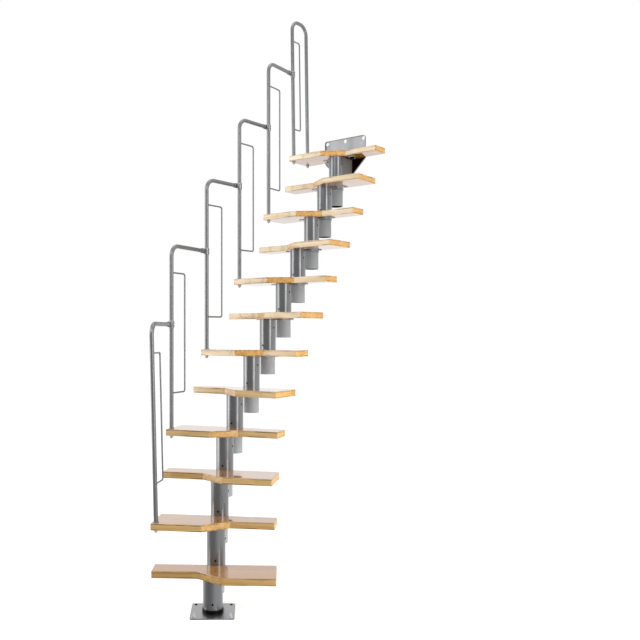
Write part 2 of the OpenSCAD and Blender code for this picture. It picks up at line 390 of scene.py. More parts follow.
@dataclass(frozen=True)
class LacqueredBeech(Finish):
    """Beech strips, glued, sanded and sprayed with clear gloss lacquer.

    The wood is warm honey with short darker flecks along the grain; the thick
    lacquer mirrors pale surroundings at low angles. Layers show on the edges.
    Each wood colour is a pair, pale and warm. Each grain is its size across the
    board in millimetres, its stretch along it and its detail; all are drawn
    wider than real ones, which are too fine to show at this size. A range is
    two levels of noise and the shares that they give. Roughness and the coat's
    run from the sawn edges to the broad faces.
    """

    face: tuple[str, str] = ("#C68A33", "#AC7222")
    ochre: tuple[str, str] = ("#CCA45C", "#9E722A")
    cream: tuple[str, str] = ("#E6DBB8", "#CCA66C")
    honey: tuple[str, str] = ("#FACB7E", "#E09C48")
    fleck: str = "#7E5426"
    glue: str = "#5C3A1A"
    strip_mm: float = 48.0
    stave_mm: float = 410.0
    board_mm: float = 38.0
    layer_mm: float = 5.0
    figure: tuple[float, float, float] = (12.0, 30.0, 2.0)
    fibre: tuple[float, float, float] = (3.0, 40.0, 3.0)
    speckle: tuple[float, float, float] = (5.0, 20.0, 1.0)
    gaps: tuple[float, float, float] = (9.0, 14.0, 1.0)
    speckle_range: tuple[float, ...] = (0.64, 0.80, 0.0, 0.45)
    gaps_range: tuple[float, ...] = (0.45, 0.57, 0.0, 0.95)
    stave_share: float = 0.22
    figure_share: float = 0.72
    fibre_share: float = 0.14
    warm_to_pale: Point = (0.27, 0.77)
    soaked_from: Point = (0.1, 0.6)
    stain_mm: Point = (1.2, 0.4)
    glue_mm: Point = (1.2, 2.6)
    fibre_rise_mm: float = 0.4
    fibre_strength: float = 0.05
    roughness: Point = (0.32, 0.22)
    ior: float = 1.48
    coat_on_cut: Point = (1.0, 0.5)
    coat_roughness: Point = (0.13, 0.04)
    coat_ior: float = 1.6

    def surface(self, tree: Tree) -> Socket:
        """Build the wood from the piece's own "board" attribute.

        Args:
            tree: The material's empty tree.

        Returns:
            The shader.
        """
        add = partial(add_node, tree)
        at = add("ShaderNodeAttribute", (), "Vector", attribute_name="board")
        tone = add("ShaderNodeAttribute", (), "Fac", attribute_name="tone")
        cut = add("ShaderNodeAttribute", (), "Fac", attribute_name="end_grain")
        split = add("ShaderNodeSeparateXYZ", [at]).node.outputs
        half = self.board_mm / 2 * MM
        core = half - self.layer_mm * MM

        grains = []
        for across_mm, stretch, detail in (self.figure, self.fibre, self.speckle, self.gaps):
            across = 1 / (across_mm * MM)
            spot = add(VECTOR_MATH, [at, (across / stretch, across, across)], operation="MULTIPLY")
            grains.append(add(NOISE, {"Vector": spot, "Scale": 1.0, "Detail": detail}, "Fac"))
        figure, fibre, speckle, gaps = grains

        strip = add(MATH, [split["Y"], self.strip_mm * MM], operation="DIVIDE")
        strip = add(MATH, [strip], operation="FLOOR")
        depth = add(MATH, [split["Z"], half], operation="SUBTRACT")
        depth = add(MATH, [depth], operation="ABSOLUTE")
        skin = add(MATH, [depth, core], operation="GREATER_THAN")
        lane = add("ShaderNodeCombineXYZ", [strip, skin])
        lane = add("ShaderNodeTexWhiteNoise", {"Vector": lane}, "Value", noise_dimensions="2D")
        stave = add(MATH, [split["X"], self.stave_mm * MM], operation="DIVIDE")
        stave = add(MATH, [stave, lane], operation="ADD")
        stave = add(MATH, [stave], operation="FLOOR")
        cell = add("ShaderNodeCombineXYZ", [strip, skin, stave])
        stave_tone = add("ShaderNodeTexWhiteNoise", {"Vector": cell}, "Value")
        blend = add(MATH, [fibre, self.fibre_share], operation="MULTIPLY")
        blend = add(MATH, [figure, self.figure_share, blend], operation="MULTIPLY_ADD")
        blend = add(MATH, [stave_tone, self.stave_share, blend], operation="MULTIPLY_ADD")
        woods = []
        for pale, warm in (self.ochre, self.cream, self.honey, self.face):
            made = add("ShaderNodeValToRGB", [blend])
            stops = made.node.color_ramp.elements
            for stop, place, colour in zip(stops, self.warm_to_pale, (warm, pale)):
                stop.position = place
                stop.color = linear(colour)
            woods.append(made)
        ochre, cream, honey, face = woods
        # Mixed by tone, the lower treads' ochre pales to cream and honey up the stair: painted
        # light, for the upper treads that catch more light.
        sawn, golden = [
            add(MIX, {"Factor": tone, "A": ochre, "B": wood}, "Result", data_type="RGBA")
            for wood in (cream, honey)
        ]
        # Where the saw crossed the fibres, the lacquer soaked in and turned golden.
        soaked = add(MAP_RANGE, [cut, *self.soaked_from])
        # The broad faces take the stain and look redder than the sawn edges.
        polished = add(MAP_RANGE, [depth, *(half - inset * MM for inset in self.stain_mm)])
        flecks = add(MAP_RANGE, [speckle, *self.speckle_range])
        # Glue lines show in broken lengths where the outer layers meet the core;
        # they are drawn some 4 mm wide, because the real half millimetre is lost.
        off = add(MATH, [depth, core], operation="SUBTRACT")
        off = add(MATH, [off], operation="ABSOLUTE")
        near = add(MAP_RANGE, [off, *(reach * MM for reach in self.glue_mm), 1.0, 0.0])
        broken = add(MAP_RANGE, [gaps, *self.gaps_range])
        line = add(MATH, [near, broken], operation="MULTIPLY")
        colour = sawn
        for share, layer in (
            (soaked, golden),
            (polished, face),
            (flecks, linear(self.fleck)),
            (line, linear(self.glue)),
        ):
            layers = {"Factor": share, "A": colour, "B": layer}
            colour = add(MIX, layers, "Result", data_type="RGBA")
        rise = self.fibre_rise_mm * MM
        bump = {"Strength": self.fibre_strength, "Distance": rise, "Height": fibre}
        return add(
            PRINCIPLED,
            {
                "Base Color": colour,
                "Roughness": add(MAP_RANGE, [polished, 0.0, 1.0, *self.roughness]),
                "IOR": self.ior,
                "Normal": add("ShaderNodeBump", bump),
                "Coat Weight": add(MAP_RANGE, [cut, *self.coat_on_cut]),
                "Coat Roughness": add(MAP_RANGE, [polished, 0.0, 1.0, *self.coat_roughness]),
                "Coat IOR": self.coat_ior,
            },
        )


@dataclass(frozen=True)
class Skin(Finish):
    """One colour that drifts a little, over a finely pebbled skin.

    Cloud and flakes vary the tone, and the cloud varies the roughness too.
    """

    colour: str = "#202020"
    metallic: float = 0.0
    roughness: float = 0.4
    rough_drift: float = 0.0
    shine: float = 0.5
    coat: float = 0.0
    coat_roughness: float = 0.12
    noise_range: Point = (0.3, 0.7)
    cloud_mm: float = 25 / 3
    cloud_detail: float = 3.0
    cloud_drift: float = 0.12
    flake_mm: float = 1.2
    flake_detail: float = 1.0
    flake_drift: float = 0.0
    pebble_mm: float = 0.8
    pebble_detail: float = 2.0
    pebble_rise_mm: float = 0.2
    pebble_strength: float = 0.1

    def surface(self, tree: Tree) -> Socket:
        """Build the drifting tone and the pebbled skin.

        Args:
            tree: The material's empty tree.

        Returns:
            The shader.
        """
        add = partial(add_node, tree)
        at = add("ShaderNodeTexCoord", (), "Object")
        cloud, flakes, pebbles = [
            add(NOISE, {"Vector": at, "Scale": 1 / (size * MM), "Detail": detail}, "Fac")
            for size, detail in (
                (self.cloud_mm, self.cloud_detail),
                (self.flake_mm, self.flake_detail),
                (self.pebble_mm, self.pebble_detail),
            )
        ]
        drifts = [
            add(MAP_RANGE, [noise, *self.noise_range, middle - drift, middle + drift])
            for noise, middle, drift in (
                (cloud, 1.0, self.cloud_drift),
                (flakes, 1.0, self.flake_drift),
                (cloud, self.roughness, self.rough_drift),
            )
        ]
        tone = add(MATH, drifts[:2], operation="MULTIPLY")
        paint = {0: linear(self.colour)[:3], "Scale": tone}
        rise = self.pebble_rise_mm * MM
        bump = {"Strength": self.pebble_strength, "Distance": rise, "Height": pebbles}
        return add(
            PRINCIPLED,
            {
                "Base Color": add(VECTOR_MATH, paint, operation="SCALE"),
                "Metallic": self.metallic,
                "Roughness": drifts[2],
                "Normal": add("ShaderNodeBump", bump),
                "Specular IOR Level": self.shine,
                "Coat Weight": self.coat,
                "Coat Roughness": self.coat_roughness,
            },
        )


@dataclass(frozen=True)
class PowderCoat(Skin):
    """Steel, powder coated in metallic grey under a clear coat.

    It gives soft streaks of light along the tubes and pale rims at low angles.
    Flakes and pebbles are drawn over a millimetre wide; real ones are far finer.
    """

    colour: str = "#7B7C7E"
    metallic: float = 0.95
    roughness: float = 0.3
    rough_drift: float = 0.03
    coat: float = 1.0
    cloud_mm: float = 110.0
    cloud_drift: float = 0.04
    flake_drift: float = 0.04
    pebble_mm: float = 1.6
    pebble_detail: float = 1.0
    pebble_rise_mm: float = 0.3
    pebble_strength: float = 0.03


@dataclass(frozen=True)
class SatinPaint(PowderCoat):
    """Steel, painted in plain satin grey: no flakes gleam and no streak shows."""

    metallic: float = 0.0
    coat: float = 0.0


BEECH = LacqueredBeech("beech_strips_gloss_lacquered", "beech")
# Bright metallic grey with sharp streaks, on columns, plates and carriers.
SPINE_COAT = PowderCoat("steel_silver_powder_coated", "spine_steel")
# Paler and flat: painted light on the floor's plate, whose top catches the light from above.
LIT_PLATE_COAT = PowderCoat(
    "steel_plate_silver_powder_coated", "spine_steel", colour="#8E8F91", roughness=0.34
)
# Pale and even, almost without a highlight.
SLEEVE_COAT = SatinPaint(
    "steel_tube_grey_satin_painted", "spine_steel", colour="#A6AAAD", roughness=0.7, shine=0.15
)
# The same paint in a warmer, darker grey: painted shade on the last module's cheeks under the top
# tread.
SHADED_CHEEK_COAT = SatinPaint(
    "steel_plate_grey_satin_painted", "spine_steel", colour="#7C7A76", roughness=0.6, shine=0.25
)
# Softer streaks along the thin tubes.
RAIL_COAT = PowderCoat(
    "steel_tube_grey_powder_coated", "rail_steel", colour="#828384", roughness=0.38, coat=0.6
)
# Small bright glints on the castings.
CLAMP_COAT = PowderCoat("cast_clamp_silver_painted", "rail_steel", colour="#949597")
# Black with a faint sheen.
RUBBER = Skin("rubber_black_moulded", "black_ring", colour="#050505", roughness=0.3, shine=0.12)
# Black without any sheen: painted shade in the open ends of the sleeves and in the gap at each bar's
# clamp.
SHADE_BLACK = Skin("rubber_black_matte_moulded", "black_ring", colour="#040404", roughness=0.9, shine=0.0)
# Pale bluish metal with soft glints.
ZINC = Skin("steel_zinc_plated", "rail_steel", colour="#BDBEC1", metallic=0.2, roughness=0.35)
# Warm black without sheen: black oxide on the small screws, and painted shade on the wall plate's
# foot, the top carrier's underside and the sunk floor bolts.
BLACK_STEEL_AND_SHADE = Skin("steel_black_oxide", "spine_steel", colour="#130A09", roughness=0.6, shine=0.0)


# ---------------------------------------------------------------- repeats


def swept(tree: Tree, given: Sequence[Socket]) -> Socket:
    """Add the nodes that sweep a round tube along the given path.

    Args:
        tree: The Geometry Nodes tree.
        given: Its inputs.

    Returns:
        The tube.
    """
    add = partial(add_node, tree)
    path = add("GeometryNodeMeshToCurve", {"Mesh": given["Geometry"]})
    radius = add(MATH, [given["Diameter"], 0.5], operation="MULTIPLY")
    ring = {"Resolution": given["Sides"], "Radius": radius}
    section = add("GeometryNodeCurvePrimitiveCircle", ring)
    return add(
        "GeometryNodeCurveToMesh", {"Curve": path, "Profile Curve": section, "Fill Caps": True}
    )


def scattered(tree: Tree, given: Sequence[Socket]) -> Socket:
    """Add the nodes that put the template on the given points.

    Each one stands along its point's "axis" and is turned about it at random.

    Args:
        tree: The Geometry Nodes tree.
        given: Its inputs.

    Returns:
        The placed templates.
    """
    add = partial(add_node, tree)
    points = add("GeometryNodeMeshToPoints", {"Mesh": given["Geometry"]})
    part = add("GeometryNodeObjectInfo", {"Object": given["Template"]}, "Geometry")
    axis = add("GeometryNodeInputNamedAttribute", {"Name": "axis"}, data_type="FLOAT_VECTOR")
    aimed = add("FunctionNodeAlignRotationToVector", {"Vector": axis}, axis="Z")
    full = {"Min": 0.0, "Max": 2 * math.pi, "Seed": given["Turn Seed"]}
    turn = add("FunctionNodeRandomValue", full, "Value", data_type="FLOAT")
    spin = add("FunctionNodeAxisAngleToRotation", {"Axis": UP, "Angle": turn})
    both = {"Rotation": aimed, "Rotate By": spin}
    rotation = add("FunctionNodeRotateRotation", both, rotation_space="LOCAL")
    return add(
        "GeometryNodeInstanceOnPoints",
        {"Points": points, "Instance": part, "Rotation": rotation, "Scale": given["Size"]},
    )


class Repeat(Enum):
    """The Geometry Nodes trees that make what repeats or follows a path."""

    SWEEP = "tube_along_path"
    SCATTER = "fastener_on_points"

    def tree(self) -> Tree:
        """Build the tree, or find it once it is built.

        Returns:
            The tree.
        """
        found = bpy.data.node_groups.get(self.value)
        if found:
            return found
        tree = bpy.data.node_groups.new(self.value, "GeometryNodeTree")
        build, sizes = {
            Repeat.SWEEP: (swept, {"Diameter": "Float", "Sides": "Int"}),
            Repeat.SCATTER: (scattered, {"Template": "Object", "Size": "Float", "Turn Seed": "Int"}),
        }[self]
        face = tree.interface
        for name, kind in {"Geometry": "Geometry", **sizes, "Finish": "Material"}.items():
            face.new_socket(name=name, in_out="INPUT", socket_type=f"NodeSocket{kind}")
        face.new_socket(name="Geometry", in_out="OUTPUT", socket_type="NodeSocketGeometry")
        given = add_node(tree, "NodeGroupInput").node.outputs
        real = add_node(tree, "GeometryNodeRealizeInstances", [build(tree, given)])
        finish = {"Geometry": real, "Material": given["Finish"]}
        add_node(tree, "NodeGroupOutput", [add_node(tree, "GeometryNodeSetMaterial", finish)])
        return tree

    def grow(self, name: str, seed: Thing, inputs: dict[str, object]) -> Thing:
        """Run the tree on a seed object and keep the plain mesh.

        Args:
            name: Name of the made piece.
            seed: The object with the path or the points, which is removed.
            inputs: The tree's inputs by name.

        Returns:
            The plain piece.
        """
        modifier = seed.modifiers.new("repeat", "NODES")
        modifier.node_group = self.tree()
        sockets = modifier.node_group.interface.items_tree
        identifiers = {s.name: s.identifier for s in sockets if s.in_out == "INPUT"}
        for key, value in inputs.items():
            modifier[identifiers[key]] = value
        return smoothed(baked(seed, name), CREASE_ANGLE)


def settle(piece: Thing, finish: Finish, *nodes: str) -> Thing:
    """Dress a finished piece and fix it to the part.

    Args:
        piece: The plain piece at the origin.
        finish: Its finish, unless it has one already.
        *nodes: The CAD nodes that it stands for.

    Returns:
        The piece.
    """
    if not piece.data.materials:
        piece.data.materials.append(finish.material())
    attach(piece, BODY)
    if nodes:
        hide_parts(*nodes)
    LOG.info("%s: %d faces", piece.name, len(piece.data.polygons))
    return piece


@dataclass(frozen=True)
class Stock:
    """Round tube or rod that is bent in one plane.

    Args:
        diameter: Its diameter.
        sides: Faces round it.
        finish: Its finish.
    """

    diameter: float
    sides: int
    finish: Finish

    def bend(self, name: str, node: str, frame: Matrix, flat: Sequence[Point]) -> None:
        """Bend one along a path and settle it.

        Args:
            name: Name of the piece.
            node: The CAD node that it stands for.
            frame: The frame that the path lies in.
            flat: The path's points in the frame's Y-Z plane.
        """
        points = [frame @ Vector((0, y * MM, z * MM)) for y, z in flat]
        seed = wire_object(name + "_path", points, True)
        sizes = {"Diameter": self.diameter * MM, "Sides": self.sides}
        made = Repeat.SWEEP.grow(name, seed, {**sizes, "Finish": self.finish.material()})
        settle(made, self.finish, node)


@dataclass(frozen=True)
class Fastener:
    """A small turned part that repeats, drawn from one profile.

    Args:
        profile: Radius and height pairs in millimetres; height runs outwards.
        finish: Its finish.
        sides: Faces round it.
        closed: Whether the profile is a ring, as on a washer.
        turn_seed: Seed of the random turn of each about its axis.
    """

    profile: tuple[Point, ...]
    finish: Finish
    sides: int
    closed: bool = False
    turn_seed: int = 7

    def scatter(self, name: str, spots: Sequence[tuple[Vector, Vector]]) -> None:
        """Put one on each spot and settle them as one piece.

        Args:
            name: Name of the piece that holds them all.
            spots: Place in metres and outward axis of each.
        """
        middle = Matrix.Identity(4)
        template = turned(name + "_template", self.profile, middle, self.sides, self.closed)
        points = wire_object(name + "_points", [place for place, _ in spots], False)
        axis = points.data.attributes.new("axis", "FLOAT_VECTOR", "POINT")
        axis.data.foreach_set("vector", [part for _, way in spots for part in way])
        sizes = {"Template": template, "Size": 1.0, "Turn Seed": self.turn_seed}
        made = Repeat.SCATTER.grow(name, points, {**sizes, "Finish": self.finish.material()})
        bpy.data.objects.remove(template)
        settle(made, self.finish)


@dataclass(frozen=True)
class Weldment:
    """Pieces that are copies of CAD nodes, with eased edges and one or more coats.

    Args:
        nodes: The CAD nodes by name.
    """

    nodes: dict[str, Thing]

    def dress(
        self,
        node: str,
        name: str,
        ease: float,
        coats: Sequence[Finish],
        pick: Callable[[bpy.types.MeshPolygon], int],
        cuts: Iterable[tuple[Vector, Vector]] = (),
    ) -> None:
        """Copy a CAD node, ease its sharp edges, coat its faces and settle it.

        Args:
            node: Name of the node, which is left alone.
            name: Name of the piece.
            ease: Width of the eased edges.
            coats: The finishes that its faces have.
            pick: Gives the number of a face's finish.
            cuts: Place in metres and normal of planes that divide its flat faces.
        """
        shape = bmesh.new()
        shape.from_mesh(self.nodes[node].data)
        bmesh.ops.remove_doubles(shape, verts=shape.verts, dist=MERGE_M)
        flat = math.radians(FLAT_ANGLE)
        bmesh.ops.dissolve_limit(shape, angle_limit=flat, verts=shape.verts, edges=shape.edges)
        for place, normal in cuts:
            every = [*shape.verts, *shape.edges, *shape.faces]
            bmesh.ops.bisect_plane(shape, geom=every, plane_co=place, plane_no=normal)
        piece = smoothed(mesh_object(name, shape))
        edges = piece.modifiers.new("ease", "BEVEL")
        edges.width = ease * MM
        edges.segments = 2
        edges.angle_limit = math.radians(EASE_ANGLE)
        piece = weighted(piece)
        for coat in coats:
            piece.data.materials.append(coat.material())
        for face in piece.data.polygons:
            face.material_index = int(pick(face))
        settle(piece, coats[0], node)


# ---------------------------------------------------------------- the staircase


@dataclass(frozen=True)
class Climb:
    """Where the columns stand and how high the treads are."""

    first_rise: float = 209
    rise: float = 226
    going: float = 150.5
    spine_dir: tuple[float, ...] = (4, 5, 9, 21.5, 41, 42.5, 43, 40.5, 41, 40, 38, 38)
    tread_dir: tuple[float, ...] = (2.5, 8.5, 12.5, 21.5, 32.5, 38.5, 39.5, 40, 40.5, 39.5, 38, 40.5)
    column_d: float = 101
    carrier_t: float = 5
    tread_t: float = 38
    tread_w: float = 650
    deep_run: float = 230
    tread_bite: float = 20.5
    seat: float = 0.2

    @property
    def steps(self) -> int:
        """Number of treads."""
        return len(self.tread_dir)

    @property
    def tread_front(self) -> float:
        """How far ahead of its column's axis the back edge of a tread lies."""
        return self.column_d / 2 + self.seat - self.tread_bite

    def stand(self, k: int) -> Vector:
        """Find the plan place of a column.

        Args:
            k: Number of the column, from 0 at the foot.

        Returns:
            Its place in millimetres.
        """
        place = Vector((0, 0, 0))
        for heading in self.spine_dir[:k]:
            place += direction(heading) * self.going
        return place

    def top(self, k: int) -> float:
        """Height of the top of tread k."""
        return self.first_rise + (k - 1) * self.rise

    def under(self, k: int) -> float:
        """Height of the underside of tread k."""
        return self.top(k) - self.tread_t

    def frame(self, k: int, heading: float, height: float) -> Matrix:
        """Frame at column k: X to the right of the heading, Y along it, metres."""
        return frame_at(self.stand(k) + UP * height, heading)

    def spot(self, k: int, heading: float, right: float, on: float, height: float) -> Vector:
        """A point in column k's frame, turned into the part's frame in metres."""
        return self.frame(k, heading, height) @ Vector((right * MM, on * MM, 0))


@dataclass(frozen=True)
class TreadSet:
    """The twelve paddle treads: boards with one deep and one cut-back half.

    Each is cut from its own stretch of wood, so many metres on and aside.
    """

    climb: Climb
    shallow_run: float = 127
    knee_shallow: float = 86
    knee_deep: float = 50
    corner_r: float = 6
    edge_r: float = 2.6
    notch_steps: int = 18
    stretch: Point = (3.1, 0.7)

    def notch(self) -> list[Point]:
        """Lay out the round bite that a tread takes out for its column.

        Returns:
            Its points, right to left.
        """
        radius = self.climb.column_d / 2 + self.climb.seat
        start = math.asin(self.climb.tread_front / radius)
        turns = [
            -start - (math.pi - 2 * start) * step / self.notch_steps
            for step in range(self.notch_steps + 1)
        ]
        return [(radius * math.cos(turn), radius * math.sin(turn)) for turn in turns]

    def outline(self, k: int) -> list[Point]:
        """Lay out a tread in its column's frame.

        Args:
            k: Number of the tread.

        Returns:
            Its plan outline, anticlockwise.
        """
        half = self.climb.tread_w / 2
        back = -self.climb.tread_front
        near = back - self.shallow_run
        far = back - self.climb.deep_run
        corners = [
            (-half, back),
            (-half, near),
            (-self.knee_shallow, near),
            (self.knee_deep, far),
            (half, far),
            (half, back),
        ]
        if k % 2 == 0:
            corners = [(-x, y) for x, y in reversed(corners)]
        outline = rounded(corners, self.corner_r)
        if k < self.climb.steps:
            outline += self.notch()
        return outline

    def board(self, k: int) -> Thing:
        """Build tread k with rounded edges and its grain along its width.

        Args:
            k: Number of the tread, from 1 at the floor.

        Returns:
            The board.
        """
        shape = bmesh.new()
        floor = [shape.verts.new((x * MM, y * MM, 0)) for x, y in self.outline(k)]
        base = shape.faces.new(floor)
        base.normal_update()
        if base.normal.z > 0:
            base.normal_flip()
        raised = bmesh.ops.extrude_face_region(shape, geom=[base])["geom"]
        top = [v for v in raised if isinstance(v, bmesh.types.BMVert)]
        bmesh.ops.translate(shape, vec=UP * self.climb.tread_t * MM, verts=top)
        bmesh.ops.recalc_face_normals(shape, faces=shape.faces)
        rims = [e for e in shape.edges if abs(e.verts[0].co.z - e.verts[1].co.z) < LEVEL_M]
        round_over = {"offset": self.edge_r * MM, "segments": 3, "profile": 0.5}
        bmesh.ops.bevel(shape, geom=rims, affect="EDGES", **round_over)
        end_grain = shape.faces.layers.float.new("end_grain")
        shape.normal_update()
        for face in shape.faces:
            face[end_grain] = abs(face.normal.x)
        grain = shape.verts.layers.float_vector.new("board")
        tone = shape.verts.layers.float.new("tone")
        for vert in shape.verts:
            # The wood is painted from ochre at the foot to warm honey at the top: painted light, as
            # the upper treads catch more light.
            vert[tone] = (k - 1) / (self.climb.steps - 1)
            vert[grain] = vert.co + Vector((*self.stretch, 0)) * k
        heading = self.climb.tread_dir[k - 1]
        shape.transform(self.climb.frame(k, heading, self.climb.under(k)))
        return weighted(mesh_object(f"beech_tread_{k:02d}", shape))

    def build(self) -> None:
        """Build and settle every tread."""
        for k in range(1, self.climb.steps + 1):
            settle(self.board(k), BEECH, f"tread_{k:02d}")


@dataclass(frozen=True)
class Spine(Weldment):
    """Welded modules: a column, the plate it carries and the sleeve below it.

    The places of a tread's screws run right and on from the column's axis.
    """

    climb: Climb
    ease: float = 0.8
    foot_d: float = 104
    stub_d: float = 90
    stub_l: float = 111
    tube_wall: float = 3
    shade_plug_rise: float = 1.1
    screw_up: float = 25
    screw_down: float = 49
    screw_turn: float = 4
    foot_screw_up: float = 54
    tread_holes: tuple[Point, ...] = ((-112, -75), (-84, -105), (84, -105), (112, -75))
    cheek_m2: float = 0.01
    cheek_facing: float = 0.99

    def coat_of(self, k: int, face: bpy.types.MeshPolygon) -> int:
        """Choose the coat of a module's face.

        Args:
            k: Number of the module.
            face: The face.

        Returns:
            1 on the sleeve, 2 on the last module's cheeks, which are painted darker as shade, and 0
            elsewhere.
        """
        climb = self.climb
        if face.center.z < (climb.under(k) - climb.carrier_t - self.ease) * MM:
            return 1
        flank = direction(climb.tread_dir[k] + 90)
        cheek = face.area > self.cheek_m2 and abs(face.normal @ flank) > self.cheek_facing
        return 2 if cheek and k == climb.steps - 1 else 0

    def modules(self) -> None:
        """Dress the eleven modules and the last plate."""
        coats = (SPINE_COAT, SLEEVE_COAT, SHADED_CHEEK_COAT)
        for k in range(1, self.climb.steps):
            node = f"module_{k:02d}"
            self.dress(node, f"spine_{node}", self.ease, coats, partial(self.coat_of, k))
        right = direction(self.climb.tread_dir[-1] + 90)
        middle = self.climb.stand(self.climb.steps) * MM
        # The top carrier's underside right of its column is painted black: painted shade under the
        # top tread.
        self.dress(
            "top_carrier",
            "spine_top_carrier",
            self.ease,
            (SPINE_COAT, BLACK_STEEL_AND_SHADE),
            lambda face: (face.center - middle) @ right > 0 and face.normal.z < -FACING,
            [(middle, right)],
        )

    def caps(self) -> None:
        """Set a black plug up into each hanging sleeve: painted shade for the dark inside of its
        open end.
        """
        inner = self.stub_d / 2 - self.tube_wall
        rim = inner - 0.05
        profile = ((0, -1), (inner - 5, -1), (inner - 3.5, 0.8), (rim, 0.8), (rim, -5), (0, -5))
        drop = self.climb.carrier_t + self.stub_l - self.shade_plug_rise
        spots = [
            (self.climb.spot(k, 0, 0, 0, self.climb.under(k) - drop), -UP)
            for k in range(1, self.climb.steps)
        ]
        Fastener(profile, SHADE_BLACK, sides=48).scatter("sleeve_plugs", spots)

    def set_screws(self) -> None:
        """Put the dark socket screws in each column: in front and at the right."""
        profile = ((0, 0.1), (2.6, 0.1), (3, 0.7), (5, 0.6), (5.6, 0.1), (5.6, -2.5), (0, -2.5))
        climb = self.climb
        spots = []
        radius = climb.column_d / 2
        for k in range(1, climb.steps):
            front = climb.tread_dir[k - 1]
            low = climb.top(k) + self.screw_up
            spots.append((climb.spot(k, front, 0, -radius, low), -direction(front)))
            side = climb.tread_dir[k] + self.screw_turn
            high = climb.under(k + 1) - climb.carrier_t - self.screw_down
            spots.append((climb.spot(k, side, radius, 0, high), direction(side + 90)))
        foot = Vector((0, -self.foot_d / 2, self.foot_screw_up))
        spots.append((foot * MM, -direction(0)))
        Fastener(profile, BLACK_STEEL_AND_SHADE, sides=18).scatter("column_set_screws", spots)

    def tread_screws(self) -> None:
        """Put the pan-head screws that hold each tread to its plate."""
        profile = (
            (0, 1.2), (1.6, 1.2), (2, 3), (3.4, 2.8), (4.6, 2), (5, 0.6), (5, -0.3), (0, -0.3)
        )
        climb = self.climb
        spots = [
            (climb.spot(k, climb.tread_dir[k - 1], *hole, climb.under(k) - climb.carrier_t), -UP)
            for k in range(1, climb.steps + 1)
            for hole in self.tread_holes
        ]
        Fastener(profile, ZINC, sides=16).scatter("tread_screws", spots)

    def build(self) -> None:
        """Build the whole spine."""
        self.modules()
        self.caps()
        self.set_screws()
        self.tread_screws()


@dataclass(frozen=True)
class Foot(Weldment):
    """Base plate with its foot column, black ring and floor anchors."""

    ease: float = 0.9
    base_t: float = 6
    bolt_pitch: float = 93
    hole_d: float = 12
    ring_r: float = 52.2
    ring_wall: float = 3
    ring_h: float = 18
    ring_lip: float = 2.4
    ring_steps: int = 8

    def ring(self) -> None:
        """Turn the black ring, with a full round upper edge."""
        outer = self.ring_r + self.ring_wall
        lip = self.ring_lip
        profile = [(outer - 1.2, 0), (outer - 0.3, 0.4), (outer, 1.4)]
        for step in range(self.ring_steps + 1):
            turn = math.pi / 2 * step / self.ring_steps
            round_in = outer - lip + lip * math.cos(turn)
            profile.append((round_in, self.ring_h - lip + lip * math.sin(turn)))
        profile += [(self.ring_r, self.ring_h - 0.4), (self.ring_r, 0)]
        place = Matrix.Translation(UP * self.base_t * MM)
        ring = turned("foot_ring_rubber", profile, place, 72, closed=True)
        settle(smoothed(ring), RUBBER, "foot_ring")

    def bolts(self, name: str, kind: Fastener, on: float) -> None:
        """Put a bolt at the left and the right of the plate, so far on from its middle."""
        places = [Vector((x, on, self.base_t)) * MM for x in (-self.bolt_pitch, self.bolt_pitch)]
        kind.scatter(name, [(place, UP) for place in places])

    def build(self) -> None:
        """Build the plate, the ring, the floor anchors and the bolts sunk behind them, whose black
        heads are painted shade for the dark open holes.
        """
        top = (self.base_t + 0.1) * MM
        # The plate's own faces take the paler coat: painted light on its top.
        self.dress(
            "base_plate",
            "base_plate_welded",
            self.ease,
            (SPINE_COAT, LIT_PLATE_COAT),
            lambda face: face.center.z < top,
        )
        self.ring()
        anchor = (
            (0, 24), (3, 23.5), (4.6, 22), (5, 19.5), (5, 14.5), (8.6, 14.5), (9.4, 13.5),
            (9.4, 7), (8.6, 6), (8.6, 2.2), (11.5, 2), (11.8, 1.4), (11.8, 0), (0, 0),
        )
        self.bolts("floor_anchors", Fastener(anchor, ZINC, sides=24), -self.bolt_pitch)
        # Black bolt heads sunk in the rear holes: painted shade where the open holes look dark.
        shank = self.hole_d / 2 - 0.1
        sunk = (
            (0, 2.6), (5.2, 2.4), (7, 1.7), (7.6, 0.6), (7.6, 0.1),
            (shank, 0.1), (shank, -5.4), (0, -5.4),
        )
        self.bolts("floor_bolts_sunk", Fastener(sunk, BLACK_STEEL_AND_SHADE, sides=24), self.bolt_pitch)


@dataclass(frozen=True)
class WallBracket(Weldment):
    """The plate behind the top tread that is bolted to the upper floor."""

    climb: Climb
    ease: float = 0.8
    shade_from: float = 60

    def build(self) -> None:
        """Dress the wall plate; right of the column the front of its foot is painted black as shade.
        """
        last = self.climb.steps
        way = direction(self.climb.tread_dir[-1])
        right = direction(self.climb.tread_dir[-1] + 90)
        side = (self.climb.stand(last) + right * self.shade_from) * MM
        below = UP * self.climb.under(last) * MM

        def is_painted_shade(face: bpy.types.MeshPolygon) -> bool:
            """Tell whether a face is on the front of the plate's lower right part, which is painted
            black as shade.
            """
            outside = (face.center - side) @ right > 0 and face.center.z < below.z
            return outside and face.normal @ way < -FACING

        coats = (SPINE_COAT, BLACK_STEEL_AND_SHADE)
        cuts = ((side, right), (below, UP))
        self.dress("wall_plate", "wall_plate_folded", self.ease, coats, is_painted_shade, cuts)


